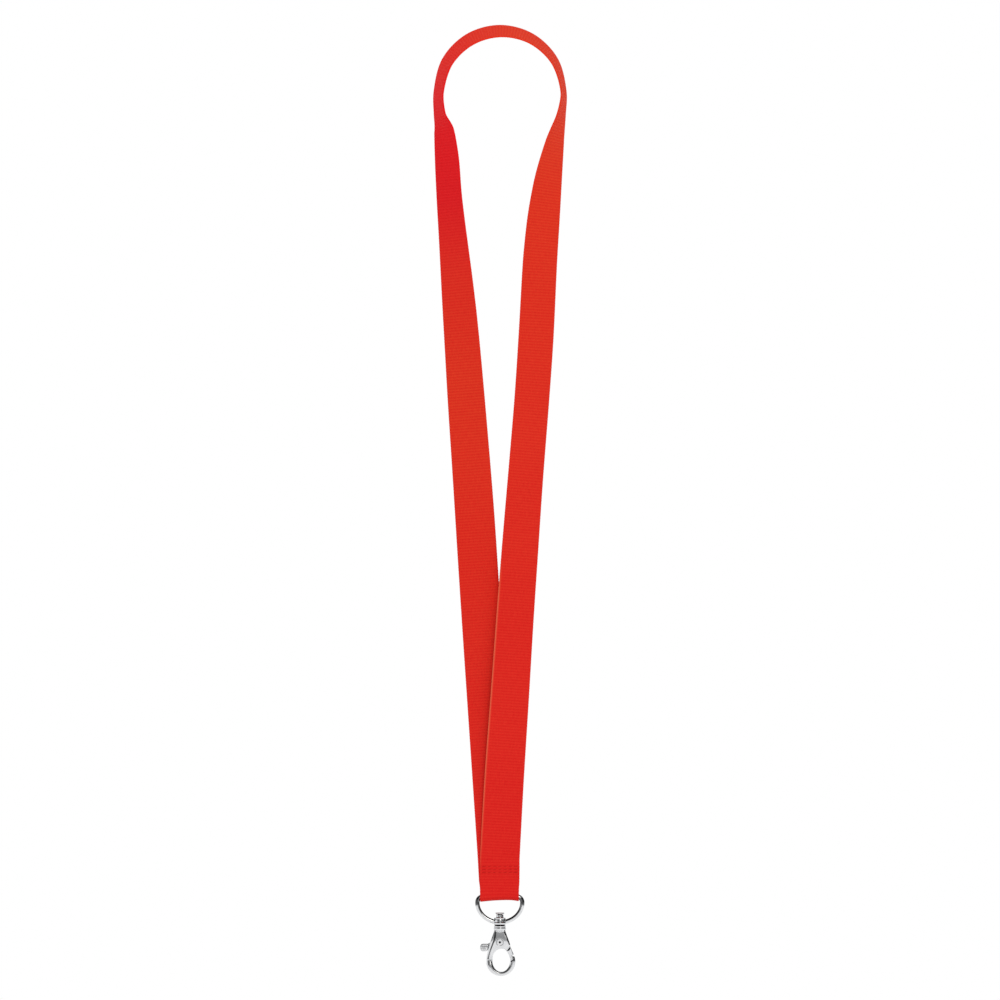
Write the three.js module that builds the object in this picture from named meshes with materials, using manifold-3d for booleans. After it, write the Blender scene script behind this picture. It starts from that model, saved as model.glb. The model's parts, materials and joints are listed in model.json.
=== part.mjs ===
// Neck lanyard: a flat woven ribbon in a long loop, sewn round a swivelling snap hook.
// Millimetres, +Z up. The lanyard hangs in the XZ plane with its front towards -Y.
// The origin is on the ribbon's inner face at the top of the loop, where it rests on the neck.

import * as THREE from 'three';
import { mergeVertices } from 'three/addons/utils/BufferGeometryUtils.js';
import Module from 'manifold-3d';

const wasm = await Module();
wasm.setup();

// ---- Driving dimensions ----

// Ribbon.
const ribbonWidth = 19.8;
const ribbonThickness = 0.9;
const layerPitch = 1.1; // from the middle of one sewn layer to the next
const stepsPerSpan = 4; // ribbon sections between two stations

// Top loop: the ribbon's outer edge follows half a circle.
const loopCentre = { x: 0.1, z: -29.3 };
const loopEdgeRadius = 33;

// Fold round the D-ring's bar.
const barHeight = -431.5; // the line that the D-ring swings on
const foldRadius = 2.95; // middle of the ribbon's thickness
const flapEnd = -412;
const tailEnd = -425;

// Seam: rows of stitching through the three layers.
const seamRows = { upper: -417, middle: -418.5, lower: -420 };
const stitchLength = 2.6;
const stitchesPerRow = 7;
const threadSize = 0.35;
const needleHole = 0.7;
const threadGap = 0.1; // between the thread and the ribbon's face

// D-ring, drawn from the line that it swings on. Its bar is slightly bowed.
const wireRadius = 1.1;
const ringHalfWidth = 11.25;
const ringCornerRadius = 3;
const barRise = 0.4; // the middle of the bar above the swing line
const ringShoulder = -3.5; // where the ring is widest
const ringBottom = -13.5;
const boss = { radius: 3.05, bead: 0.12, bore: 1.2, bottom: -15.1, shoulder: -12.2, edge: -11.7 };
const bossNeck = { radius: 1.65, foot: -11, top: -9.7 };

// Snap hook, drawn from the gate's pivot.
const pivotDrop = 23.4; // gate pivot below the line that the D-ring swings on
const bodyThickness = 5;
const hookThickness = 3.4;
const bowRadius = 7.3; // outer edge of the hook's round end
const bowCentre = { x: 0.5, z: -9.6 };
const eye = { x: 0.7, z: -9, halfWidth: 4.4, halfHeight: 5.85 };
const collarTop = 7.8;
const collarBottom = 5.5;
const collarRadius = 3.1;
const slotWidth = 2.5;
const slotTop = 3.1;
const slotBottom = -5.2;
const postRadius = 1.05;
const postBore = 1.15;
const postFoot = 4.4;
const postHead = { underside: 13.85, radius: 2.35, thickness: 0.9, dish: 0.4 };
const pivotRadius = 0.8;
const pivotBore = 0.9;
const pivotHeadRadius = 1.6;
const counterbore = { radius: 1.8, depth: 0.45 };
const punch = { radius: 0.65, depth: 0.3 };

// Gate lever.
const leverThickness = 2.1;
const armThickness = 3.2;
const tabThickness = 4.2;
const hubRadius = 2.3;
const cheekReach = 5.7; // the arm is thick only beyond the body's cheeks
const thumbTab = { x: -8.1, z: -2.85, halfWidth: 1.75, halfHeight: 2, tilt: -0.15 };
const springPocket = { radius: 1.85, face: 0.05 }; // it starts just behind the lever's middle

// Gate spring.
const springRadius = 1.4;
const springWire = 0.15;
const springPitch = 0.45;

const finishes = {
  ribbon: { color: 0xdb3226, roughness: 0.85, metalness: 0 },
  thread: { color: 0xcc2a20, roughness: 0.8, metalness: 0 },
  nickel: { color: 0xc9ccd0, roughness: 0.18, metalness: 1 },
  steel: { color: 0x9a9da2, roughness: 0.35, metalness: 1 },
};

// ---- Helpers ----

// A named mesh with a material of its own.
function piece(name, geometry, finish) {
  const mesh = new THREE.Mesh(geometry, new THREE.MeshStandardMaterial(finishes[finish]));
  mesh.name = name;
  return mesh;
}

// A closed geometry as a solid that can be joined and cut.
function solid(geometry) {
  const bare = geometry.clone();
  bare.deleteAttribute('normal');
  bare.deleteAttribute('uv');
  const merged = mergeVertices(bare, 1e-4);
  return new wasm.Manifold(new wasm.Mesh({
    numProp: 3,
    vertProperties: new Float32Array(merged.attributes.position.array),
    triVerts: new Uint32Array(merged.index.array),
  }));
}

function geometryOf(manifold) {
  const { vertProperties, triVerts } = manifold.getMesh();
  const geometry = new THREE.BufferGeometry();
  geometry.setAttribute('position', new THREE.BufferAttribute(vertProperties, 3));
  geometry.setIndex(new THREE.BufferAttribute(triVerts, 1));
  geometry.computeVertexNormals();
  return geometry;
}

// The same outline without repeated points where its curves join.
function distinct(shape) {
  const points = shape.getPoints(8);
  return new THREE.Shape(points.filter((p, i) => p.distanceTo(points[(i + 1) % points.length]) > 0.001));
}

// An outline drawn in X and Z, as thick as given and centred on Y = 0.
function plate(shape, thickness, bevel = 0) {
  const geometry = new THREE.ExtrudeGeometry(distinct(shape), {
    depth: thickness - 2 * bevel,
    bevelEnabled: bevel > 0,
    bevelThickness: bevel,
    bevelSize: bevel,
    bevelOffset: -bevel,
    bevelSegments: 2,
  });
  geometry.translate(0, 0, bevel - thickness / 2);
  return geometry.rotateX(Math.PI / 2);
}

function polygon(points) {
  return new THREE.Shape(points.map(([x, z]) => new THREE.Vector2(x, z)));
}

// A box between two corners.
function block(low, high) {
  const size = high.map((value, i) => value - low[i]);
  const centre = high.map((value, i) => (value + low[i]) / 2);
  return new THREE.BoxGeometry(...size).translate(...centre);
}

// A round bar along Y.
function crossBar(radius, low, high) {
  const bar = new THREE.CylinderGeometry(radius, radius, high - low, 24);
  return bar.translate(0, (low + high) / 2, 0);
}

// A turned piece round Z, from [radius, height] points.
function turned(profile) {
  const points = profile.map(([radius, height]) => new THREE.Vector2(radius, height));
  return new THREE.LatheGeometry(points, 32).rotateX(Math.PI / 2);
}

function roundSection(radius, sides) {
  const corners = Array.from({ length: sides }, (_, i) => {
    const angle = (2 * Math.PI * i) / sides;
    return new THREE.Vector2(radius * Math.cos(angle), radius * Math.sin(angle));
  });
  return new THREE.Shape(corners);
}

// A round wire along a curve.
function wire(path, radius, sides, steps) {
  return new THREE.ExtrudeGeometry(roundSection(radius, sides), { steps, extrudePath: path });
}

// ---- Ribbon ----

// Stations of the outer edge: x, z, turn in degrees and depth of the ribbon's middle in y.
// Turn 0 faces the front; at 90 the ribbon is edge-on, its outer edge at the back.
const rightStrap = [
  [9.85, -414, 0, -1.1],
  [12.0, -374, 6, -1.5],
  [14.5, -334, 14, -1.5],
  [16.9, -294, 19.5, -1.1],
  [18.9, -264, 21.5, -0.7],
  [21.6, -224, 27, -0.3],
  [24.7, -184, 28.5, 0],
  [26.8, -154, 27, 0],
  [28.7, -114, 30, 0],
  [29.9, -94, 34.5, 0],
  [31.0, -74, 46, 0],
  [32.1, -54, 64, 0],
  [32.8, -41, 79, 0],
];
const loopTurns = [83.3, 78.6, 74.6, 71.6, 71, 72.8, 76.6]; // from the right side over the top
const leftStrap = [
  [-32.9, -41, 74.5, 0],
  [-32.8, -49, 60, 0],
  [-32.4, -64, 52.3, 0],
  [-31.6, -82, 51, 0],
  [-30.4, -104, 45.2, 0],
  [-28.9, -134, 33, 0],
  [-27.8, -154, 27.6, 0],
  [-26.1, -184, 20, 0],
  [-23.5, -224, 12, 0],
  [-21.0, -264, 0, 0.2],
  [-18.4, -304, 0, 0.4],
  [-15.7, -344, 0, 0.4],
  [-13.0, -384, 0, 0.3],
  [-11.2, -411, 0, 0],
  [-10.6, tailEnd, 0, 0],
];

function loopStations() {
  return loopTurns.map((turn, i) => {
    const angle = (Math.PI * i) / (loopTurns.length - 1);
    const x = loopCentre.x + loopEdgeRadius * Math.cos(angle);
    const z = loopCentre.z + loopEdgeRadius * Math.sin(angle);
    return [x, z, turn, 0];
  });
}

// Middle and width direction of each section along the two straps and the loop.
function strapSections() {
  const stations = [...rightStrap, ...loopStations(), ...leftStrap];
  const edge = new THREE.CatmullRomCurve3(stations.map(([x, z, , y]) => new THREE.Vector3(x, y, z)));
  const turns = new THREE.CatmullRomCurve3(stations.map(([, , turn]) => new THREE.Vector3(turn, 0, 0)));
  const count = (stations.length - 1) * stepsPerSpan;
  return Array.from({ length: count + 1 }, (_, i) => {
    const along = edge.getTangent(i / count);
    const outward = new THREE.Vector3(along.z, 0, -along.x).normalize();
    const turn = THREE.MathUtils.degToRad(turns.getPoint(i / count).x);
    const middle = edge.getPoint(i / count).addScaledVector(outward, (-ribbonWidth / 2) * Math.cos(turn));
    const across = outward.multiplyScalar(Math.cos(turn));
    across.y = Math.sin(turn);
    return { middle, across };
  });
}

// Sections of the turned-back end: down behind the bar, round it and up at the front.
function foldSections() {
  const back = [[layerPitch, flapEnd], [layerPitch, -417], [layerPitch, -421.5], [1.75, -427]];
  const round = Array.from({ length: 5 }, (_, i) => {
    const angle = (Math.PI * i) / 4;
    return [foldRadius * Math.cos(angle), barHeight - foldRadius * Math.sin(angle)];
  });
  const front = back.slice(1).reverse().map(([y, z]) => [-y, z]);
  const points = [...back, ...round, ...front].map(([y, z]) => new THREE.Vector3(0, y, z));
  const path = new THREE.CatmullRomCurve3(points);
  return path.getPoints(40).map((middle) => ({ middle, across: new THREE.Vector3(1, 0, 0) }));
}

// One closed band through all the sections.
function ribbonBand() {
  const sections = [...foldSections(), ...strapSections()];
  const last = sections.length - 1;
  const band = new THREE.BoxGeometry(1, 1, 1, last, 1, 1);
  const corner = band.attributes.position;
  for (let i = 0; i < corner.count; i += 1) {
    const index = Math.round((corner.getX(i) + 0.5) * last);
    const before = sections[Math.max(index - 1, 0)].middle;
    const after = sections[Math.min(index + 1, last)].middle;
    const along = after.clone().sub(before).normalize();
    const across = sections[index].across.clone();
    across.addScaledVector(along, -across.dot(along)).normalize();
    const through = along.clone().cross(across);
    const point = sections[index].middle.clone();
    point.addScaledVector(across, corner.getY(i) * ribbonWidth);
    point.addScaledVector(through, corner.getZ(i) * ribbonThickness);
    corner.setXYZ(i, point.x, point.y, point.z);
  }
  return band;
}

function stitchPositions() {
  const start = (-stitchLength * stitchesPerRow) / 2;
  return Array.from({ length: stitchesPerRow + 1 }, (_, i) => start + i * stitchLength);
}

// The ribbon, with its needle holes through the three layers.
function neckRibbon() {
  const reach = 2 * layerPitch;
  let band = solid(ribbonBand());
  for (const z of Object.values(seamRows)) {
    for (const x of stitchPositions()) {
      const half = needleHole / 2;
      band = band.subtract(solid(block([x - half, -reach, z - half], [x + half, reach, z + half])));
    }
  }
  return piece('neck_ribbon', geometryOf(band), 'ribbon');
}

// A row of thread: one line on each face, joined through every needle hole.
function stitchRow(name, z) {
  const inner = layerPitch + ribbonThickness / 2 + threadGap;
  const outer = inner + threadSize;
  const half = threadSize / 2;
  const holes = stitchPositions();
  const end = holes[holes.length - 1] + half;
  let row = solid(block([-end, -outer, z - half], [end, outer, z + half]));
  for (const x of holes.slice(1)) {
    row = row.subtract(solid(block([x - stitchLength + half, -inner, z - 1], [x - half, inner, z + 1])));
  }
  return piece(name, geometryOf(row), 'thread');
}

// ---- D-ring ----

// The bowed bar's radius, for which its arc runs smoothly into the corners.
function barArcRadius() {
  const x = ringHalfWidth - ringCornerRadius;
  const drop = barRise - ringShoulder;
  return (x * x + drop * drop - ringCornerRadius * ringCornerRadius) / (2 * (drop - ringCornerRadius));
}

// The ring's wire: out of the boss, up the left side, over the bar and down the right.
function ringWire() {
  const hidden = Math.asin((0.8 * boss.radius) / ringHalfWidth); // the wire ends inside the boss
  const side = ringHalfWidth - ringCornerRadius;
  const drop = ringShoulder - ringBottom;
  const barRadius = barArcRadius();
  const lean = Math.asin(side / (barRadius - ringCornerRadius));
  const quarter = Math.PI / 2;
  const line = new THREE.Path();
  line.absellipse(0, ringShoulder, ringHalfWidth, drop, -quarter - hidden, -Math.PI, true);
  line.absarc(-side, ringShoulder, ringCornerRadius, Math.PI, quarter + lean, true);
  line.absarc(0, barRise - barRadius, barRadius, quarter + lean, quarter - lean, true);
  line.absarc(side, ringShoulder, ringCornerRadius, quarter - lean, 0, true);
  line.absellipse(0, ringShoulder, ringHalfWidth, drop, 0, -quarter + hidden, true);
  const points = line.getSpacedPoints(60).map((p) => new THREE.Vector3(p.x, 0, p.y));
  return wire(new THREE.CatmullRomCurve3(points), wireRadius, 12, 72);
}

// The boss that the hook swivels in, with a narrow neck inside the ring.
function ringBoss() {
  return turned([
    [0, boss.bottom],
    [boss.radius, boss.bottom],
    [boss.radius + boss.bead, boss.bottom + 0.35],
    [boss.radius, boss.bottom + 0.75],
    [boss.radius, boss.shoulder],
    [boss.radius - 0.5, boss.edge],
    [bossNeck.radius + 0.25, boss.edge + 0.2],
    [bossNeck.radius, bossNeck.foot],
    [bossNeck.radius, bossNeck.top],
    [0, bossNeck.top],
  ]);
}

function dRing() {
  const low = boss.bottom - 1;
  const high = bossNeck.top + 1;
  const bore = turned([[0, low], [boss.bore, low], [boss.bore, high], [0, high]]);
  const ring = solid(ringWire()).add(solid(ringBoss())).subtract(solid(bore));
  return piece('d_ring', geometryOf(ring), 'nickel');
}

// ---- Snap hook ----

// Outline of the hook: a tapering body above an open bow, with the tip on the right.
function hookOutline() {
  const tipStart = -0.12; // angle on the eye where the tip's rebate begins
  const cheekCorner = -5.2; // angle on the eye where the right cheek ends
  const shape = new THREE.Shape();
  shape.moveTo(-2.8, collarBottom + 0.3);
  shape.bezierCurveTo(-4.4, 1.5, -6.8, -4.5, bowCentre.x - bowRadius, bowCentre.z);
  shape.absarc(bowCentre.x, bowCentre.z, bowRadius, Math.PI, 2 * Math.PI, false);
  shape.lineTo(7.7, -8.1);
  shape.lineTo(7.45, -7.3);
  shape.lineTo(6.95, -6.9);
  shape.lineTo(6.4, -7.0);
  shape.lineTo(6.05, -7.5);
  shape.lineTo(6.05, -8.9);
  shape.absellipse(eye.x, eye.z, eye.halfWidth, eye.halfHeight, tipStart, cheekCorner, true);
  shape.quadraticCurveTo(4.2, -3.2, 5.2, -1.4);
  shape.bezierCurveTo(4.6, 0.9, 3.4, 3.4, 2.8, collarBottom + 0.3);
  return shape;
}

// Side limits of the thick upper body, which thins down to the hook.
function bodyWedge() {
  const half = bodyThickness / 2 + 0.5;
  const side = polygon([[-half, 7], [-half, -4.1], [-1.2, -8.6], [1.2, -8.6], [half, -4.1], [half, 7]]);
  return plate(side, 4 * bowRadius).rotateZ(Math.PI / 2);
}

function hookBody() {
  const body = solid(plate(hookOutline(), bodyThickness, 0.4)).intersect(solid(bodyWedge()));
  const collar = turned([
    [0, collarBottom - 0.6],
    [collarRadius - 0.5, collarBottom - 0.6],
    [collarRadius, collarBottom],
    [collarRadius, collarBottom + 0.7],
    [collarRadius - 0.25, collarBottom + 0.9],
    [collarRadius - 0.25, collarBottom + 1.2],
    [collarRadius, collarBottom + 1.4],
    [collarRadius - 0.1, collarTop],
    [0, collarTop],
  ]);
  const boreFoot = postFoot - 0.2;
  const boreTop = collarTop + 1;
  const bore = turned([[0, boreFoot], [postBore, boreFoot], [postBore, boreTop], [0, boreTop]]);
  const slot = block([-9, -slotWidth / 2, slotBottom], [9, slotWidth / 2, slotTop]);
  const face = bodyThickness / 2;
  const seat = face - counterbore.depth;
  return piece('hook_body', geometryOf(
    solid(plate(hookOutline(), hookThickness, 0.4))
      .add(body)
      .add(solid(collar))
      .subtract(solid(bore))
      .subtract(solid(slot))
      .subtract(solid(crossBar(pivotBore, -face - 1, face + 1)))
      .subtract(solid(crossBar(counterbore.radius, -face - 1, -seat)))
      .subtract(solid(crossBar(counterbore.radius, seat, face + 1))),
  ), 'nickel');
}

// The post that holds the hook in the D-ring's boss, flared over the boss's neck.
function swivelPost() {
  const top = postHead.underside + postHead.thickness;
  return piece('swivel_post', turned([
    [0, postFoot],
    [postRadius, postFoot],
    [postRadius, postHead.underside],
    [postHead.radius - 0.6, postHead.underside],
    [postHead.radius, top - 0.4],
    [postHead.radius - 0.05, top - 0.1],
    [postHead.radius - 0.55, top],
    [postRadius + 0.15, top - 0.3],
    [0, top - postHead.dish],
  ]), 'nickel');
}

// The rivet that the gate turns on, with a punched dimple in each head.
function pivotRivet() {
  const face = bodyThickness / 2 - 0.05;
  const under = bodyThickness / 2 - counterbore.depth + 0.05;
  const half = [
    [pivotRadius, under],
    [pivotHeadRadius, under],
    [pivotHeadRadius, face - 0.1],
    [pivotHeadRadius - 0.15, face],
    [punch.radius, face],
    [punch.radius / 2, face - punch.depth],
    [0, face - punch.depth],
  ];
  const other = half.map(([radius, height]) => [radius, -height]).reverse();
  return piece('gate_pivot_rivet', turned([...other, ...half]).rotateX(Math.PI / 2), 'steel');
}

// ---- Gate lever ----

function gateArmOutline() {
  const shape = new THREE.Shape();
  shape.moveTo(0.8, 2.0);
  shape.quadraticCurveTo(4.0, 0.4, 5.0, -1.7);
  shape.lineTo(6.9, -6.1);
  shape.lineTo(6.6, -6.6);
  shape.lineTo(5.75, -6.85);
  shape.lineTo(5.75, -7.9);
  shape.lineTo(5.05, -8.1);
  shape.quadraticCurveTo(4.5, -5.6, 2.9, -4.0);
  shape.quadraticCurveTo(1.6, -2.9, -0.8, -2.0);
  return shape;
}

function thumbTabOutline() {
  const shape = new THREE.Shape();
  const { x, z, halfWidth, halfHeight, tilt } = thumbTab;
  shape.absellipse(x, z, halfWidth, halfHeight, 0, 2 * Math.PI, false, tilt);
  return shape;
}

function gateLever() {
  const half = leverThickness / 2;
  const pocket = springPocket.face;
  const thumbArm = polygon([[-0.6, 2.1], [-6.6, -1.3], [-6.6, -4.1], [-0.8, -2.1]]);
  const tip = solid(plate(gateArmOutline(), armThickness, 0.3))
    .subtract(solid(crossBar(cheekReach, -armThickness, armThickness)));
  return piece('gate_lever', geometryOf(
    solid(crossBar(hubRadius, -half, half))
      .add(solid(plate(thumbArm, leverThickness)))
      .add(solid(plate(gateArmOutline(), leverThickness)))
      .add(tip)
      .add(solid(plate(thumbTabOutline(), tabThickness, 0.8)))
      .subtract(solid(crossBar(pivotBore, -3, 3)))
      .subtract(solid(crossBar(springPocket.radius, pocket, 3)))
      .subtract(solid(block([1.0, pocket, 0], [1.8, 3, 3])))
      .subtract(solid(block([-4.3, pocket, -1.8], [0, half + 0.1, -1.0]))),
  ), 'nickel');
}

// A torsion spring round the rivet: one leg on the lever, one up against the body.
function gateSpring() {
  const first = 0.3; // the first turn's place along Y
  const quarter = Math.PI / 2;
  const turnsStep = Math.PI / 8;
  const legEnd = new THREE.Vector3(-3.9, first, -springRadius);
  const points = [legEnd, new THREE.Vector3(-1.4, first, -springRadius)];
  for (let angle = -quarter; angle <= 4 * quarter + 0.01; angle += turnsStep) {
    const y = first + (springPitch * (angle + quarter)) / (2 * Math.PI);
    points.push(new THREE.Vector3(springRadius * Math.cos(angle), y, springRadius * Math.sin(angle)));
  }
  const end = points[points.length - 1];
  points.push(new THREE.Vector3(end.x, end.y, 1.4), new THREE.Vector3(end.x, end.y, slotTop - 0.2));
  return piece('gate_spring', wire(new THREE.CatmullRomCurve3(points), springWire, 6, 70), 'steel');
}

// ---- Assembly ----

const group = new THREE.Group();
group.add(neckRibbon());
for (const [name, z] of Object.entries(seamRows)) {
  group.add(stitchRow(`seam_stitch_${name}`, z));
}

const ringGroup = new THREE.Group();
ringGroup.position.z = barHeight;
ringGroup.add(dRing());
group.add(ringGroup);

const hookGroup = new THREE.Group();
hookGroup.position.z = -pivotDrop;
hookGroup.add(hookBody(), swivelPost(), pivotRivet(), gateLever(), gateSpring());
ringGroup.add(hookGroup);

export default group;
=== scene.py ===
# Neck lanyard: the visible model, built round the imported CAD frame.
# Metres, +Z up, front towards -Y, origin at the top of the neck loop.
import json
import math

import bmesh
import bpy
import numpy as np
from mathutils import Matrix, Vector


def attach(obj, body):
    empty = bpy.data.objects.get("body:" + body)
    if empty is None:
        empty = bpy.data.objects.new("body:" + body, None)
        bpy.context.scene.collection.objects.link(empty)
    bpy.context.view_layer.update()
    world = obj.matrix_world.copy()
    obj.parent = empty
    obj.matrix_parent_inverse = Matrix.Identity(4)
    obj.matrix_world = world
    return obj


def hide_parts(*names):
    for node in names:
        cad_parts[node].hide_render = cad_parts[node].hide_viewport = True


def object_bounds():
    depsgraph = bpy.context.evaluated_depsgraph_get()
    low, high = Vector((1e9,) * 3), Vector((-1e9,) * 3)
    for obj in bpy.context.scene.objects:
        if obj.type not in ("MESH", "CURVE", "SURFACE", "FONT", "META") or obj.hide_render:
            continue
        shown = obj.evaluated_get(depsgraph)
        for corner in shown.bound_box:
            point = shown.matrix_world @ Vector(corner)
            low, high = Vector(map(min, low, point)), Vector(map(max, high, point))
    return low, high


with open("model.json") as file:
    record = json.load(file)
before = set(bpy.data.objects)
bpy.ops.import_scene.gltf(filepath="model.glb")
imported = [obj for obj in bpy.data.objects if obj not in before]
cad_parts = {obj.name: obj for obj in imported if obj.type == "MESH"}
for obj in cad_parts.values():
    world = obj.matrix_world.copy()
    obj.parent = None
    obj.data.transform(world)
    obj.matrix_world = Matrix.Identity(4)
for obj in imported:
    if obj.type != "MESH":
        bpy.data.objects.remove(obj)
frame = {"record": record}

CAD_BOX = [list(corner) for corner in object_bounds()]
MM = 0.001

# ---- Places taken from the frame ----

JOINTS = {joint["name"]: joint for joint in frame["record"]["behaviour"]["joints"]}
BAR = Vector(JOINTS["d_ring_swing"]["pos_m"])
PIVOT = Vector(JOINTS["gate_open"]["pos_m"])
MIDDLE = (Vector(CAD_BOX[0]) + Vector(CAD_BOX[1])) / 2

# ---- Camera ----

VIEW_HEIGHT = 0.5  # metres seen from the top to the bottom of the picture
LENS = 800.0
SENSOR = 36.0
SIGHT_RANGE = 60


def make_camera():
    """A long lens straight in front, as in the photograph."""
    data = bpy.data.cameras.new("camera")
    data.lens = LENS
    data.sensor_width = SENSOR
    data.clip_end = SIGHT_RANGE
    camera = bpy.data.objects.new("camera", data)
    bpy.context.collection.objects.link(camera)
    distance = VIEW_HEIGHT * LENS / SENSOR
    camera.location = (MIDDLE.x, -distance, MIDDLE.z)
    camera.rotation_euler = (math.pi / 2, 0, 0)
    bpy.context.scene.camera = camera


make_camera()

# ---- Ribbon ----

RIBBON_WIDTH = 0.0198
RIBBON_THICKNESS = 0.0009
HALF_WIDTH = RIBBON_WIDTH / 2
LAYER_PITCH = 0.0011
FOLD_DEPTH = 0.0023   # half the fold's depth, to the middle of the ribbon's thickness
FOLD_DROP = 0.00195   # from the bar down to the same line
FLAP_SHIFT = 0.0006   # the turned-back end lies a little to the left
FOLD_SHIFT = 0.0002   # and so does the fold itself
FLAP_END = -0.412
TAIL_END = -0.425
RIB_PITCH = 0.00145
RIB_HEIGHT = 0.00007
RIB_SCALLOP = 0.004   # how much wider the ribbon is at a rib, as a share
STEPS_PER_RIB = 4
SPAN_STEPS = 24       # steps between two stations
TURN_BLEND = 15       # steps on either side over which the turn is evened out

# Stations of the outer edge: x, z, turn in degrees and depth of the ribbon's middle in y.
RIGHT_STRAP = [
    (0.00985, -0.414, 0, -0.0011),
    (0.0120, -0.374, 6, -0.0015),
    (0.0145, -0.334, 14, -0.0015),
    (0.0169, -0.294, 19.5, -0.0011),
    (0.0189, -0.264, 21.5, -0.0007),
    (0.0216, -0.224, 27, -0.0003),
    (0.0247, -0.184, 28.5, 0),
    (0.0268, -0.154, 27, 0),
    (0.0287, -0.114, 30, 0),
    (0.0299, -0.094, 34.5, 0),
    (0.0310, -0.074, 46, 0),
    (0.0321, -0.054, 64, 0),
    (0.0328, -0.041, 79, 0),
]
LOOP_CENTRE = (0.0001, -0.0293)
LOOP_EDGE_RADIUS = 0.033
LOOP_TURNS = (83.3, 78.6, 74.6, 71.6, 71, 72.8, 76.6)
LEFT_STRAP = [
    (-0.0329, -0.041, 74.5, 0),
    (-0.0328, -0.049, 60, 0),
    (-0.0324, -0.064, 52.3, 0),
    (-0.0316, -0.082, 51, 0),
    (-0.0304, -0.104, 45.2, 0),
    (-0.0289, -0.134, 33, 0),
    (-0.0278, -0.154, 27.6, 0),
    (-0.0261, -0.184, 20, 0),
    (-0.0235, -0.224, 12, 0),
    (-0.0210, -0.264, 0, 0.0002),
    (-0.0184, -0.304, 0, 0.0004),
    (-0.0157, -0.344, 0, 0.0004),
    (-0.0130, -0.384, 0, 0.0003),
    (-0.0112, -0.411, 0, 0),
    (-0.0104, TAIL_END, 0, 0),
]


def smooth_run(points, per_span):
    """A centripetal Catmull-Rom run through the points, with per_span steps between two."""
    points = np.array(points, float)
    points = np.vstack([2 * points[0] - points[1], points, 2 * points[-1] - points[-2]])
    found = []
    for i in range(1, len(points) - 2):
        a, b, c, d = points[i - 1:i + 3]
        gaps = [max(np.linalg.norm(q - p), 1e-7) for p, q in ((a, b), (b, c), (c, d))]
        before, here, after = (gap**0.5 for gap in gaps)
        start = ((b - a) / before - (c - a) / (before + here) + (c - b) / here) * here
        end = ((c - b) / here - (d - b) / (here + after) + (d - c) / after) * here
        for step in range(per_span):
            t = step / per_span
            found.append(
                (2 * t**3 - 3 * t**2 + 1) * b + (t**3 - 2 * t**2 + t) * start
                + (-2 * t**3 + 3 * t**2) * c + (t**3 - t**2) * end
            )
    found.append(points[-2])
    return np.array(found)


def loop_stations():
    """Stations round the top of the loop, which is half a circle."""
    found = []
    for i, turn in enumerate(LOOP_TURNS):
        angle = math.pi * i / (len(LOOP_TURNS) - 1)
        x = LOOP_CENTRE[0] + LOOP_EDGE_RADIUS * math.cos(angle)
        z = LOOP_CENTRE[1] + LOOP_EDGE_RADIUS * math.sin(angle)
        found.append((x, z, turn, 0))
    return found


def strap_run():
    """Middle line and width direction along the right strap, the loop and the left strap."""
    stations = np.array(RIGHT_STRAP + loop_stations() + LEFT_STRAP)
    edge = smooth_run(stations[:, [0, 3, 1]], SPAN_STEPS)
    degrees = np.interp(np.arange(len(edge)) / SPAN_STEPS, np.arange(len(stations)), stations[:, 2])
    soft = np.hanning(2 * TURN_BLEND + 1)
    padded = np.pad(degrees, TURN_BLEND, mode="edge")
    turn = np.radians(np.convolve(padded, soft / soft.sum(), mode="valid"))
    along = np.gradient(edge, axis=0)
    outward = np.stack([along[:, 2], np.zeros(len(along)), -along[:, 0]], 1)
    outward /= np.linalg.norm(outward, axis=1)[:, None]
    middle = edge - outward * (HALF_WIDTH * np.cos(turn))[:, None]
    across = outward * np.cos(turn)[:, None]
    across[:, 1] = np.sin(turn)
    return middle, across


def fold_run():
    """Middle line and width direction of the end that turns round the D-ring's bar."""
    back = [
        (-FLAP_SHIFT, LAYER_PITCH, FLAP_END),
        (-FLAP_SHIFT, LAYER_PITCH, -0.417),
        (-FLAP_SHIFT, LAYER_PITCH, -0.4215),
        (-0.5 * FLAP_SHIFT, 0.00165, -0.427),
    ]
    bend = []
    for i in range(5):
        angle = math.pi * i / 4
        bend.append((-FOLD_SHIFT, FOLD_DEPTH * math.cos(angle), BAR.z - FOLD_DROP * math.sin(angle)))
    shift = (-0.6 * FOLD_SHIFT, -0.3 * FOLD_SHIFT, 0)
    front = [(x, -y, z) for x, (_, y, z) in zip(shift, reversed(back[1:]))]
    middle = smooth_run(back + bend + front, SPAN_STEPS)
    return middle, np.tile((1.0, 0.0, 0.0), (len(middle), 1))


def ribbon_run():
    """Even steps along the whole ribbon: distance, middle, width direction and face normal."""
    fold, strap = fold_run(), strap_run()
    middle = np.vstack([fold[0], strap[0]])
    across = np.vstack([fold[1], strap[1]])
    distance = np.concatenate([[0], np.cumsum(np.linalg.norm(np.diff(middle, axis=0), axis=1))])
    count = int(round(distance[-1] / RIB_PITCH)) * STEPS_PER_RIB
    even = np.linspace(0, distance[-1], count + 1)
    middle = np.stack([np.interp(even, distance, middle[:, i]) for i in range(3)], 1)
    across = np.stack([np.interp(even, distance, across[:, i]) for i in range(3)], 1)
    along = np.gradient(middle, axis=0)
    along /= np.linalg.norm(along, axis=1)[:, None]
    across -= along * (across * along).sum(1)[:, None]
    across /= np.linalg.norm(across, axis=1)[:, None]
    return even, middle, across, np.cross(along, across)


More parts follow.
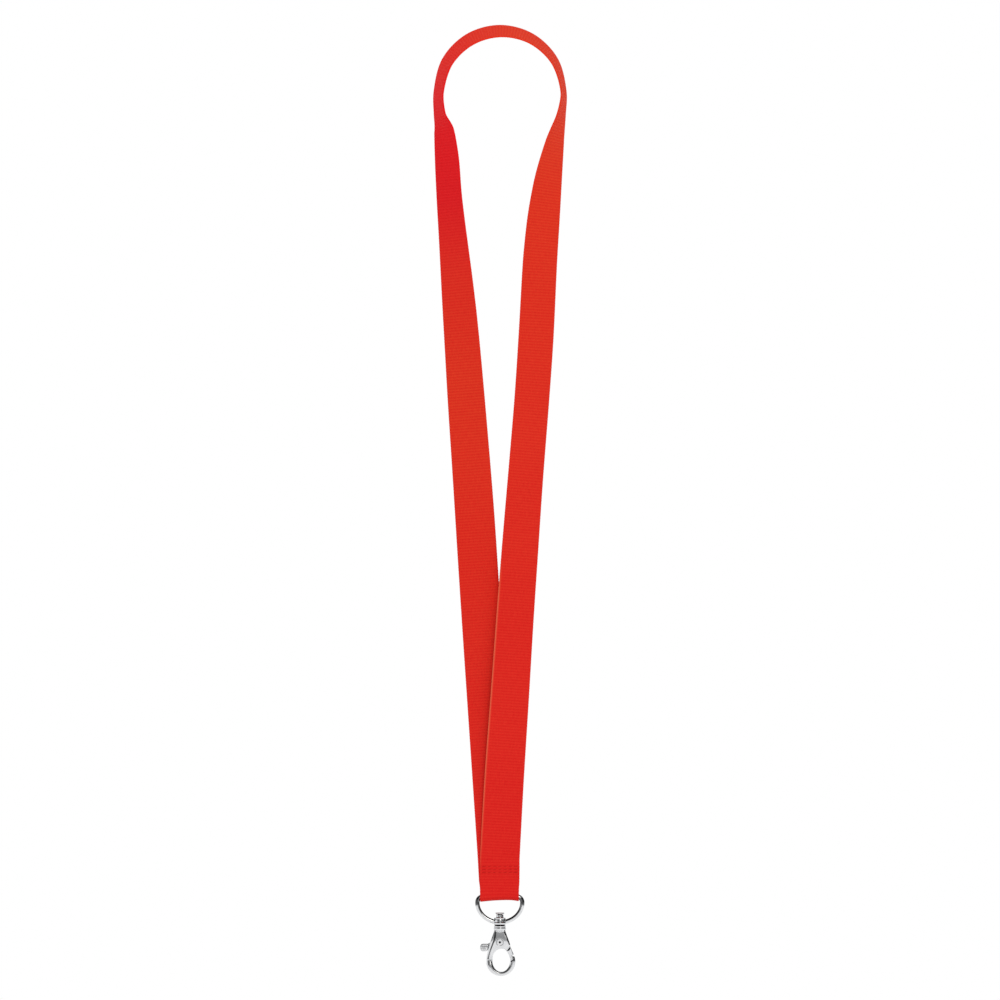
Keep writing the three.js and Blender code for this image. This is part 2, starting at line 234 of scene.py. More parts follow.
def ribbon_section():
    """The ribbon's cross-section as (place across, place through, rib share) points, all round."""
    half, depth = HALF_WIDTH, RIBBON_THICKNESS / 2
    inner = [half - 0.0004, half - 0.0010, half - 0.0014, half - 0.0022]
    inner += [half * share for share in (0.6, 0.4, 0.2, 0.0)]
    lift = [0.85, 1.0, 0.94, 1.0, 1.0, 1.0, 1.0, 1.0]  # a shallow groove inside the selvedge
    ribs = [0.5, 0.5, 0.8, 1, 1, 1, 1, 1]
    face = [(place, depth * up, rib) for place, up, rib in zip(inner, lift, ribs)]
    top = [(half, 0.0, 0.0), (half - 0.00012, depth * 0.55, 0.3)] + face
    top += [(-p, d, r) for p, d, r in reversed(top[:-1])]
    return top + [(p, -d, r) for p, d, r in reversed(top[1:-1])]


def smooth_step(values, low, high):
    """Goes smoothly from 0 at low to 1 at high."""
    share = np.clip((values - low) / (high - low), 0, 1)
    return share * share * (3 - 2 * share)


def droop(points):
    """Draws the fold in a little and lowers its corners, where the D-ring's bar bends down."""
    x, z = points[:, 0], points[:, 2]
    highest, left_drop, right_drop, squeeze = 0.0045, 0.0009, 0.0007, 0.02
    left = left_drop * (np.clip(highest - x, 0, None) / (HALF_WIDTH + highest)) ** 2
    right = right_drop * (np.clip(x - highest, 0, None) / (HALF_WIDTH - highest)) ** 2
    fold = smooth_step(-z, 0.4275, 0.4325)
    points[:, 2] -= (left + right) * fold
    points[:, 0] *= 1 - squeeze * smooth_step(-z, 0.4245, 0.4285)


def painted_edge_highlight(middle, places):
    """How strongly a painted highlight lies along the front strap's left selvedge."""
    inward = places + HALF_WIDTH
    side = np.interp(inward, (0, 0.0001, 0.00035, 0.0006), (0.85, 0.85, 0.45, 0))
    height = middle[:, 2]
    rows = smooth_step(-height, 0.262, 0.280) * (1 - 0.3 * smooth_step(-height, 0.38, 0.405))
    rows *= 1 - smooth_step(-height, 0.404, 0.424)
    rows *= middle[:, 1] < 0
    rows[np.argmax(height):] = 0
    return rows[:, None] * side[None, :]


def make_ribbon():
    """The whole ribbon: one ribbed section swept along its run."""
    run, middle, across, through = ribbon_run()
    section = np.array(ribbon_section())
    phase = 2 * math.pi * run / RIB_PITCH
    rib = RIB_HEIGHT * (np.cos(phase) - 1) / 2
    places = section[:, 0]
    depths = section[None, :, 1] + np.sign(section[None, :, 1]) * section[None, :, 2] * rib[:, None]
    scallop = 1 + RIB_SCALLOP * np.cos(phase)
    points = (
        middle[:, None, :]
        + across[:, None, :] * (places[None, :] * scallop[:, None])[:, :, None]
        + through[:, None, :] * depths[:, :, None]
    ).reshape(-1, 3)
    droop(points)
    rows, columns = depths.shape
    corners = np.arange(rows * columns).reshape(rows, columns)
    following = np.roll(corners, -1, axis=1)
    quads = np.stack([corners[:-1], following[:-1], following[1:], corners[1:]], -1).reshape(-1, 4)
    faces = [list(map(int, quad)) for quad in quads]
    faces.append(list(map(int, corners[0][::-1])))
    faces.append(list(map(int, corners[-1])))
    mesh = bpy.data.meshes.new("neck_ribbon_weave")
    mesh.from_pydata(points.tolist(), [], faces)
    weave = mesh.attributes.new("weave", "FLOAT_VECTOR", "POINT")
    values = np.stack([
        np.repeat(run, columns),
        np.tile(places, rows),
        np.tile(section[:, 1], rows),
    ], 1)
    weave.data.foreach_set("vector", values.astype(np.float32).ravel())
    # The painted highlight along the front strap's left selvedge.
    pale = mesh.attributes.new("painted_edge_highlight", "FLOAT", "POINT")
    pale.data.foreach_set("value", painted_edge_highlight(middle, places).astype(np.float32).ravel())
    mesh.polygons.foreach_set("use_smooth", [True] * len(mesh.polygons))
    return add_object("neck_ribbon_weave", mesh)


def add_object(name, mesh):
    """An object for a mesh, in the scene, with its faces turned outwards."""
    obj = bpy.data.objects.new(name, mesh)
    bpy.context.collection.objects.link(obj)
    fix_normals(obj)
    return obj


def fix_normals(obj):
    """Turns every face of a mesh outwards."""
    work = bmesh.new()
    work.from_mesh(obj.data)
    bmesh.ops.recalc_face_normals(work, faces=work.faces)
    work.to_mesh(obj.data)
    work.free()


# ---- Stitching ----

SEAM_ROWS = {"upper": -0.417, "middle": -0.4185, "lower": -0.420}
STITCH_LENGTH = 0.0026
STITCHES_PER_ROW = 7
STEPS_PER_STITCH = 14
THREAD_RADIUS = 0.00014
THREAD_SINK = 0.0003    # how deep a needle hole is
THREAD_HUMP = 0.00032   # how far a stitch rises out of it
ROW_SINK = 0.0001       # how much deeper the middle of a row lies
THREAD_LEAN = 0.00008


def ring_faces(rings, sides):
    """The four-sided faces between each ring of points and the next."""
    faces = []
    for ring in range(rings - 1):
        low, high = ring * sides, (ring + 1) * sides
        for i in range(sides):
            j = (i + 1) % sides
            faces.append((low + i, low + j, high + j, high + i))
    return faces


def tube(name, path, radius, sides):
    """A closed round tube along a list of points, with flat ends; radius may be one per point."""
    path = np.array(path, float)
    radii = np.full(len(path), radius) if np.isscalar(radius) else np.array(radius)
    along = np.gradient(path, axis=0)
    along /= np.linalg.norm(along, axis=1)[:, None]
    side = np.cross(along[0], (0, 1, 0) if abs(along[0][1]) < 0.9 else (1, 0, 0))
    points = []
    for centre, direction, size in zip(path, along, radii):
        side = side - direction * side.dot(direction)
        side /= np.linalg.norm(side)
        other = np.cross(direction, side)
        for i in range(sides):
            angle = 2 * math.pi * i / sides
            points.append(centre + size * (math.cos(angle) * side + math.sin(angle) * other))
    faces = ring_faces(len(path), sides)
    faces.append(tuple(range(sides)))
    faces.append(tuple(range(len(points) - sides, len(points))))
    mesh = bpy.data.meshes.new(name)
    mesh.from_pydata([tuple(p) for p in points], [], faces)
    mesh.polygons.foreach_set("use_smooth", [True] * len(mesh.polygons))
    return add_object(name, mesh)


def join(name, objects):
    """One object of several."""
    bpy.ops.object.select_all(action="DESELECT")
    for obj in objects:
        obj.select_set(True)
    bpy.context.view_layer.objects.active = objects[0]
    bpy.ops.object.join()
    objects[0].name = name
    objects[0].data.name = name
    return objects[0]


def make_stitches(row, height):
    """One row: a front and a back thread that dip into the ribbon at every needle hole."""
    face = LAYER_PITCH + RIBBON_THICKNESS / 2
    half = STITCH_LENGTH * STITCHES_PER_ROW / 2
    places = np.linspace(-half, half, STITCHES_PER_ROW * STEPS_PER_STITCH + 1)
    hump = np.abs(np.sin(np.pi * (places + half) / STITCH_LENGTH)) ** 0.45
    sunk = ROW_SINK * (1 - (places / half) ** 2)
    threads = []
    for side in (-1, 1):
        depth = side * (face - THREAD_SINK + THREAD_HUMP * hump - sunk)
        lean = THREAD_LEAN * np.sin(2 * np.pi * (places + half) / STITCH_LENGTH) * side
        path = np.stack([places, depth, height + lean], 1)
        threads.append(tube(f"thread_{row}", path, THREAD_RADIUS * (0.8 + 0.2 * hump), sides=8))
    return join(f"stitches_{row}", threads)


# ---- Making metal parts: outlines, turned pieces and castings, in millimetres ----

LATHE_SIDES = 64
ARC_STEP = math.radians(6)
SAME_PLACE = 1e-3   # an outline's points that are nearer than this are one
FLAT_RIM = 1e-7     # metres: an edge of a plate with less depth than this lies in a face
FACES_FROM = 1.2    # what is nearer the middle plane isn't pressed in
CAST_VOXEL = 0.11
LEVER_VOXEL = 0.09


def outline(moves, steps=12):
    """Points of an outline from places to go to, Bezier curves and ellipse arcs."""
    points = []
    for kind, *data in moves:
        if kind == "to":
            points.append(Vector(data))
        elif kind == "curve":
            handles = [points[-1]] + [Vector(p) for p in data]
            degree = len(handles) - 1
            for i in range(1, steps + 1):
                t = i / steps
                place = Vector((0, 0))
                for k, handle in enumerate(handles):
                    place += math.comb(degree, k) * t**k * (1 - t) ** (degree - k) * handle
                points.append(place)
        else:
            x, z, half_width, half_height, start, end = data
            count = max(6, int(abs(end - start) / ARC_STEP))
            for i in range(count + 1):
                angle = start + (end - start) * i / count
                points.append(Vector((x + half_width * math.cos(angle), z + half_height * math.sin(angle))))
    kept = []
    for point in points:
        if not kept or (point - kept[-1]).length > SAME_PLACE:
            kept.append(point)
    return kept


def plate(points, thickness, centre, bevel=0.0, segments=4):
    """A plate in X and Z round centre, from an outline in millimetres, with rounded rims."""
    work = bmesh.new()
    low = [work.verts.new(centre + Vector((p.x, -thickness / 2, p.y)) * MM) for p in points]
    bottom = work.faces.new(low)
    top = bmesh.ops.extrude_face_region(work, geom=[bottom])
    moved = [v for v in top["geom"] if isinstance(v, bmesh.types.BMVert)]
    bmesh.ops.translate(work, verts=moved, vec=(0, thickness * MM, 0))
    bmesh.ops.recalc_face_normals(work, faces=work.faces)
    if bevel:
        rims = [e for e in work.edges if abs(e.verts[0].co.y - e.verts[1].co.y) < FLAT_RIM]
        bmesh.ops.bevel(
            work, geom=rims, offset=bevel * MM, segments=segments, profile=0.5, affect="EDGES",
            clamp_overlap=True,
        )
    mesh = bpy.data.meshes.new("plate")
    work.to_mesh(mesh)
    work.free()
    return add_object("plate", mesh)


def lathe(profile, centre, axis="Z"):
    """A closed turned piece from [radius, height] points in millimetres that start and end on the axis."""
    inner = profile[1:-1]
    points = []
    for radius, height in inner:
        for i in range(LATHE_SIDES):
            angle = 2 * math.pi * i / LATHE_SIDES
            points.append((radius * math.cos(angle), radius * math.sin(angle), height))
    faces = ring_faces(len(inner), LATHE_SIDES)
    foot, head = len(points), len(points) + 1
    points += [(0, 0, profile[0][1]), (0, 0, profile[-1][1])]
    last = (len(inner) - 1) * LATHE_SIDES
    for i in range(LATHE_SIDES):
        j = (i + 1) % LATHE_SIDES
        faces.append((i, foot, j))
        faces.append((last + i, last + j, head))
    if axis == "Y":
        points = [(x, z, -y) for x, y, z in points]
    mesh = bpy.data.meshes.new("lathe")
    mesh.from_pydata([tuple(centre + Vector(p) * MM) for p in points], [], faces)
    mesh.polygons.foreach_set("use_smooth", [True] * len(mesh.polygons))
    return add_object("lathe", mesh)


def rod(radius, low, high, centre, axis="Y"):
    """A plain round bar, for cutting and joining."""
    return lathe([(0, low), (radius, low), (radius, high), (0, high)], centre, axis)


def box(low, high, centre):
    """A plain box, for cutting."""
    sides = ((low[0], low[2]), (high[0], low[2]), (high[0], high[2]), (low[0], high[2]))
    middle = centre + Vector((0, (high[1] + low[1]) / 2, 0)) * MM
    return plate([Vector(corner) for corner in sides], high[1] - low[1], middle)


def cut(base, cutters):
    """Cuts the cutters out of base, and removes them."""
    for cutter in cutters:
        change = base.modifiers.new("cut", "BOOLEAN")
        change.operation = "DIFFERENCE"
        change.solver = "EXACT"
        change.object = cutter
        bpy.context.view_layer.objects.active = base
        bpy.ops.object.modifier_apply(modifier=change.name)
        bpy.data.objects.remove(cutter)
    return base


def skin(obj, voxel):
    """Turns overlapping shells into one even skin."""
    bpy.context.view_layer.objects.active = obj
    change = obj.modifiers.new("skin", "REMESH")
    change.mode = "VOXEL"
    change.voxel_size = voxel * MM
    change.adaptivity = 0.0
    bpy.ops.object.modifier_apply(modifier=change.name)


def cast(name, shells, cutters, voxel, passes):
    """One metal casting: joined shells with holes and slots cut out, then softened edges."""
    casting = join(name, shells)
    skin(casting, voxel)
    cut(casting, cutters)
    skin(casting, voxel)
    soften = casting.modifiers.new("soften", "SMOOTH")
    soften.factor = 0.5
    soften.iterations = passes
    bpy.ops.object.modifier_apply(modifier=soften.name)
    casting.data.polygons.foreach_set("use_smooth", [True] * len(casting.data.polygons))
    return casting


def press(obj, centre, depth_at):
    """Presses both faces of a casting inwards, by what depth_at says for each place, in millimetres."""
    for vert in obj.data.vertices:
        place = (vert.co - centre) / MM
        if abs(place.y) > FACES_FROM:
            vert.co.y -= math.copysign(depth_at(place) * MM, place.y)


def painted_shade(obj, marks):
    """Stores painted shade and painted dark reflection, by how near each point lies to a mark, from
    (points, radius, strength) marks.
    """
    count = len(obj.data.vertices)
    places = np.empty(count * 3, np.float32)
    obj.data.vertices.foreach_get("co", places)
    places = places.reshape(-1, 3).astype(float)
    depth = np.zeros(count)
    for line, radius, *strength in marks:
        full = strength[0] if strength else 1.0
        line = np.array([tuple(point) for point in line])
        for first, last in zip(line[:-1], line[1:]):
            span = last - first
            share = np.clip((places - first) @ span / (span @ span), 0, 1)
            gap = np.linalg.norm(places - first - share[:, None] * span, axis=1)
            depth = np.maximum(depth, full * (1 - smooth_step(gap, radius * MM * 0.55, radius * MM)))
    # An attribute of painted shade and painted dark reflection, which darkens the metal's colour.
    layer = obj.data.attributes.new("painted_shade", "FLOAT", "POINT")
    layer.data.foreach_set("value", depth.astype(np.float32))


def circle_line(radius, height, centre):
    """A closed round line, for a joint all round a turned part."""
    count = 32
    angles = [2 * math.pi * i / count for i in range(count + 1)]
    return [centre + Vector((radius * math.cos(a), radius * math.sin(a), height)) * MM for a in angles]


# ---- D-ring: millimetres from the line that it swings on ----

WIRE_RADIUS = 1.1
RING_HALF_WIDTH = 11.25
RING_CORNER = 3.0
BAR_RISE = 0.4         # the bowed bar's middle, above the line that it swings on
RING_SHOULDER = -3.5   # where the round side begins
RING_BOTTOM = -13.5
BOSS_BOTTOM = -14.95
SPIGOT_BORE = 2.05
BOSS_BORE = 1.2
BOSS_RADIUS = 3.05
NECK_TOP = -9.7


def ring_line():
    """The wire's route, from the boss round the left side, the bowed bar and the right side."""
    side = RING_HALF_WIDTH - RING_CORNER
    rise = BAR_RISE - RING_SHOULDER
    bar_radius = (side**2 + rise**2 - RING_CORNER**2) / (2 * (rise - RING_CORNER))
    lean = math.asin(side / (bar_radius - RING_CORNER))
    hidden = math.asin(0.8 * BOSS_RADIUS / RING_HALF_WIDTH)
    drop = RING_SHOULDER - RING_BOTTOM
    quarter = math.pi / 2
    line = outline([
        ("arc", 0, RING_SHOULDER, RING_HALF_WIDTH, drop, -quarter - hidden, -math.pi),
        ("arc", -side, RING_SHOULDER, RING_CORNER, RING_CORNER, math.pi, quarter + lean),
        ("arc", 0, BAR_RISE - bar_radius, bar_radius, bar_radius, quarter + lean, quarter - lean),
        ("arc", side, RING_SHOULDER, RING_CORNER, RING_CORNER, quarter - lean, 0),
        ("arc", 0, RING_SHOULDER, RING_HALF_WIDTH, drop, 0, -quarter + hidden),
    ])
    return [BAR + Vector((point.x, 0, point.y)) * MM for point in line]


def make_d_ring():
    """The bent wire and the bored boss at its foot, as one casting."""
    wire = tube("wire", ring_line(), WIRE_RADIUS * MM, sides=28)
    boss = lathe([
        (0, BOSS_BOTTOM), (2.7, BOSS_BOTTOM), (2.7, BOSS_BOTTOM + 0.3), (2.85, BOSS_BOTTOM + 0.35),
        (3.15, -13.8), (3.1, -13.65), (2.85, -13.5), (2.85, -12.35), (2.6, -11.8), (2.8, -11.75),
        (BOSS_RADIUS, -11.4), (BOSS_RADIUS - 0.1, -11.25), (2.4, -11.2), (1.9, -11.15), (1.85, -11.0),
        (1.85, NECK_TOP), (0, NECK_TOP),
    ], BAR)
    bores = [
        rod(BOSS_BORE, BOSS_BOTTOM - 1, NECK_TOP + 1, BAR, "Z"),
        rod(SPIGOT_BORE, BOSS_BOTTOM - 1, BOSS_BOTTOM + 0.3, BAR, "Z"),
    ]
    ring = cast("d_ring_casting", [wire, boss], bores, CAST_VOXEL, passes=9)
    # Painted shade and painted dark reflections: a dark ring in the gap at the boss's foot, dark lines
    # along the inner side of the wire's round sides, and dark patches on the wire's outer side at the
    # shoulders.
    marks = [(circle_line(2.75, BOSS_BOTTOM + 0.1, BAR), 0.34)]
    inset = 0.85
    across, drop = RING_HALF_WIDTH - inset, RING_SHOULDER - RING_BOTTOM - inset
    angles = [math.radians(angle) for angle in range(-4, 75, 6)]
    for side in (-1, 1):
        arc = [(side * across * math.cos(a), RING_SHOULDER - drop * math.sin(a)) for a in angles]
        for depth in (-0.5, 0.5):
            marks.append(([BAR + Vector((x, depth, z)) * MM for x, z in arc], 0.6))
        corner = [(side * 11.6, 0, -3.9), (side * 11.3, 0, -2.6 - 0.6 * side), (side * 10.8, 0, -1.9)]
        marks.append(([BAR + Vector(place) * MM for place in corner], 1.9, 0.85))
    painted_shade(ring, marks)
    return ring


# ---- Snap hook: millimetres from the gate's pivot ----

BODY_THICKNESS = 5.0
FACE = BODY_THICKNESS / 2
BOW = (0.5, -9.6)              # the bow's centre, x and z
BOW_RADIUS = 7.3
BOW_DEPTH = 1.7                # from the middle plane to the bow's face
BOW_START = math.radians(158)  # from high on the left side, round below, to the tip
BOW_END = math.radians(380)
SQUARENESS = 0.8               # below 1 makes the bow's section squarer than an ellipse
EYE = (0.7, -9.0, 4.4, 5.85)   # centre and half sizes, x and z
COLLAR_BOTTOM = 5.5
COLLAR_TOP = 8.4
SPIGOT_RADIUS = 1.9
SLOT_WIDTH = 2.5
SLOT_TOP = 3.1
SLOT_BOTTOM = -5.2
REBATE_SIDE = 5.9
REBATE_FLOOR = -8.25
POST_FOOT = 4.4
POST_BORE = 1.15
HEAD_UNDERSIDE = 13.85
RIVET_BORE = 0.9
RIVET_SEAT = 1.8
SEAT_DEPTH = 0.45
RIVET_HEAD = 0.4               # from the body's face down to under the rivet's head
RIM_GROOVE_DEPTH = 0.2
RIM_GROOVE_WIDTH = 0.3
RIM_GROOVE_STEPS = 40
TAB_GROOVES = (-1.7, -2.4, -3.1, -3.8, -4.4)
TAB_GROOVE_DEPTH = 0.11
TAB_GROOVE_WIDTH = 0.14
TAB_SIDE = -5.6                # the thumb tab lies to the left of this
TAB_THICKNESS = 4.2
LEVER_THICKNESS = 2.1          # where it turns inside the slot
ARM_THICKNESS = 3.2            # and outside it
SLOT_REACH = 5.7               # how far from the pivot the slot's inside goes
HUB_RADIUS = 2.3


def bow_tube():
    """The round end of the hook, from high on the left side round to its tip."""
    rows, sides = 80, 24
    points = []
    for row in range(rows + 1):
        angle = BOW_START + (BOW_END - BOW_START) * row / rows
        inner = Vector((EYE[0] + EYE[2] * math.cos(angle), EYE[1] + EYE[3] * math.sin(angle)))
        outer = Vector((BOW[0] + BOW_RADIUS * math.cos(angle), BOW[1] + BOW_RADIUS * math.sin(angle)))
        centre, reach = (inner + outer) / 2, (outer - inner) / 2
        swell = BOW_DEPTH * (0.6 + 0.4 * smooth_step(row / rows, 0.0, 0.25))
        for i in range(sides):
            turn = 2 * math.pi * i / sides
            flat = math.copysign(abs(math.cos(turn)) ** SQUARENESS, math.cos(turn))
            deep = math.copysign(abs(math.sin(turn)) ** SQUARENESS, math.sin(turn))
            place = centre + reach * flat
            points.append(PIVOT + Vector((place.x, swell * deep, place.y)) * MM)
    faces = ring_faces(rows + 1, sides)
    faces.append(tuple(range(sides)))
    faces.append(tuple(range(rows * sides, (rows + 1) * sides)))
    mesh = bpy.data.meshes.new("bow")
    mesh.from_pydata([tuple(p) for p in points], [], faces)
    return add_object("bow", mesh)


def face_depth(height):
    """How far the body's faces stand from its middle plane at a height."""
    low = smooth_step(-height, -2.0, 9.0)
    high = smooth_step(height, -0.5, 6.0)
    return FACE * (1 - 0.52 * low - 0.2 * high)


def upper_body():
    """The upper body, thickest at the pivot and thinner towards the collar and the bow; its slot is cut in
    the casting.
    """
    points = outline([
        ("to", -2.7, COLLAR_BOTTOM + 0.4),
        ("curve", (-4.3, 1.5), (-6.5, -4.2), (-6.7, -8.6)),
        ("curve", (-5.6, -9.6), (-4.1, -9.4)),
        ("curve", (-3.9, -6.0), (-2.1, -3.4), (0.7, -3.15)),
        ("curve", (2.6, -3.3), (3.6, -4.2)),
        ("curve", (4.6, -3.2), (5.2, -1.4)),
        ("curve", (4.6, 0.9), (3.4, 3.4), (2.7, COLLAR_BOTTOM + 0.4)),
    ], 10)
    body = plate(points, BODY_THICKNESS, PIVOT, bevel=1.5, segments=6)
    work = bmesh.new()
    work.from_mesh(body.data)
    for height in np.arange(-9.0, 5.5, 0.5):  # levels at which the faces can bend
        level = PIVOT + Vector((0, 0, height)) * MM
        parts = work.verts[:] + work.edges[:] + work.faces[:]
        bmesh.ops.bisect_plane(work, geom=parts, plane_co=level, plane_no=(0, 0, 1))
    for vert in work.verts:
        vert.co.y *= face_depth((vert.co.z - PIVOT.z) / MM) / FACE
    work.to_mesh(body.data)
    work.free()
    return body


def at(x, z, y=0.0):
    """A place in metres, from millimetres round the gate's pivot."""
    return PIVOT + Vector((x, y, z)) * MM


def press_rim_groove(body, line):
    """A shallow rounded groove along a line on both faces, between the flat and the rim."""
    def depth_at(place):
        if not line[-1][1] < place.z < line[0][1]:
            return 0.0
        gap = np.min(np.hypot(line[:, 0] - place.x, line[:, 1] - place.z))
        return RIM_GROOVE_DEPTH * math.exp(-(gap / RIM_GROOVE_WIDTH) ** 2)

    press(body, PIVOT, depth_at)


def make_hook_body():
    """The die-cast body with its collar and bow, slotted for the gate and bored for post and rivet."""
    collar = lathe([
        (0, COLLAR_BOTTOM - 0.5), (2.0, COLLAR_BOTTOM - 0.4), (2.6, COLLAR_BOTTOM + 0.1),
        (2.9, COLLAR_BOTTOM + 0.4), (3.12, 6.9), (3.08, 7.05), (2.95, 7.15), (2.85, 7.3), (2.87, 7.45),
        (3.06, 8.0), (3.0, 8.1), (2.7, 8.12), (2.7, COLLAR_TOP), (SPIGOT_RADIUS, COLLAR_TOP),
        (SPIGOT_RADIUS, COLLAR_TOP + 0.25), (0, COLLAR_TOP + 0.25),
    ], PIVOT)
    cutters = [
        box((-9, -SLOT_WIDTH / 2, SLOT_BOTTOM), (9, SLOT_WIDTH / 2, SLOT_TOP), PIVOT),
        box((3.2, -3, REBATE_FLOOR), (REBATE_SIDE, 3, -4.5), PIVOT),
        rod(POST_BORE, POST_FOOT - 0.2, 9, PIVOT, "Z"),
        rod(RIVET_BORE, -FACE - 1, FACE + 1, PIVOT),
        rod(RIVET_SEAT, -FACE - 1, -FACE + SEAT_DEPTH, PIVOT),
        rod(RIVET_SEAT, FACE - SEAT_DEPTH, FACE + 1, PIVOT),
    ]
    body = cast("hook_casting", [upper_body(), bow_tube(), collar], cutters, CAST_VOXEL, passes=7)
    left = smooth_run([
        (-2.2, 5.3), (-2.5, 2.8), (-3.5, -0.6), (-4.6, -3.6), (-5.5, -6.4), (-6.0, -8.4),
    ], RIM_GROOVE_STEPS)
    right = smooth_run([(2.4, 5.3), (3.4, 2.8), (4.4, 0.2), (4.9, -1.2)], RIM_GROOVE_STEPS)
    press_rim_groove(body, left)
    press_rim_groove(body, right)
    # Painted shade and painted dark reflections: a dark ring at the collar's top under the boss, a dark
    # mark at the tip, and dark lines along both rim grooves on both faces, weaker low on the left.
    tip = ((5.6, -6.95), (6.8, -7.0), (7.45, -7.9), (6.7, -9.1), (5.6, -9.6))
    marks = [(circle_line(2.72, 8.28, PIVOT), 0.34)]
    fade = 3 * RIM_GROOVE_STEPS
    for side in (-1, 1):
        marks.append(([at(x, z, side * 1.5) for x, z in tip], 0.42))
        for line, strength in ((left[:fade + 1], 0.92), (left[fade:], 0.7), (right, 0.92)):
            marks.append(([at(x, z, side * (face_depth(z) - 0.3)) for x, z in line[::8]], 0.5, strength))
    painted_shade(body, marks)
    return body


def make_swivel_post():
    """The post through the D-ring's boss, with its end flared over and dished."""
    post = lathe([
        (0, POST_FOOT), (1.05, POST_FOOT), (1.05, HEAD_UNDERSIDE - 0.02), (1.1, HEAD_UNDERSIDE + 0.02),
        (1.7, HEAD_UNDERSIDE + 0.02), (2.1, HEAD_UNDERSIDE + 0.2), (2.32, HEAD_UNDERSIDE + 0.48),
        (2.35, HEAD_UNDERSIDE + 0.62), (2.28, HEAD_UNDERSIDE + 0.78), (2.1, HEAD_UNDERSIDE + 0.88),
        (1.85, HEAD_UNDERSIDE + 0.88), (1.6, HEAD_UNDERSIDE + 0.78), (1.2, HEAD_UNDERSIDE + 0.6),
        (0.7, HEAD_UNDERSIDE + 0.5), (0, HEAD_UNDERSIDE + 0.47),
    ], PIVOT)
    post.name = "swivel_post_flared"
    # Painted shade in a ring under the flared head.
    painted_shade(post, [(circle_line(1.4, HEAD_UNDERSIDE, PIVOT), 0.5)])
    return post


def make_pivot_rivet():
    """The rivet that the gate turns on, with a punched dimple in both heads."""
    face = FACE - 0.05
    under = FACE - RIVET_HEAD
    half = [
        (0.8, under - 0.01), (0.82, under), (1.55, under), (1.6, under + 0.05),
        (1.6, face - 0.14), (1.55, face - 0.04), (1.42, face), (0.72, face),
        (0.62, face - 0.03), (0.42, face - 0.28), (0.34, face - 0.32), (0, face - 0.33),
    ]
    other = [(radius, -height) for radius, height in reversed(half)]
    rivet = lathe(other + half, PIVOT, "Y")
    rivet.name = "pivot_rivet_punched"
    # Painted shade in the dimples of both heads.
    floor = face - 0.33
    painted_shade(rivet, [([at(0, 0, side * floor), at(0, 0.01, side * floor)], 0.8) for side in (-1, 1)])
    return rivet


def gate_arm():
    """The arm's outline, from the hub to the tip that rests in the body's rebate."""
    return outline([
        ("to", 0.8, 2.0), ("curve", (4.0, 0.4), (5.0, -1.7)), ("to", 6.85, -6.0),
        ("curve", (6.7, -6.65), (5.75, -6.85)), ("to", 5.75, -7.8), ("curve", (5.5, -8.25), (5.05, -8.05)),
        ("curve", (4.5, -5.6), (2.9, -4.0)), ("curve", (1.6, -2.9), (-0.8, -2.0)),
    ], 8)


def press_tab_grooves(lever):
    """Fine cross grooves pressed into both faces of the thumb tab."""
    def depth_at(place):
        if place.x >= TAB_SIDE:
            return 0.0
        return TAB_GROOVE_DEPTH * sum(
            math.exp(-((place.z - height) / TAB_GROOVE_WIDTH) ** 2) for height in TAB_GROOVES
        )

    press(lever, PIVOT, depth_at)


def thumb_tab():
    """The tab's outline: four round corners."""
    quarter = math.pi / 2
    corners = ((-6.45, -1.6, 0.8), (-8.35, -2.3, 1.5), (-8.35, -3.15, 1.5), (-7.4, -3.35, 1.3))
    return outline([
        ("arc", x, z, radius, radius, i * quarter, (i + 1) * quarter)
        for i, (x, z, radius) in enumerate(corners)
    ])


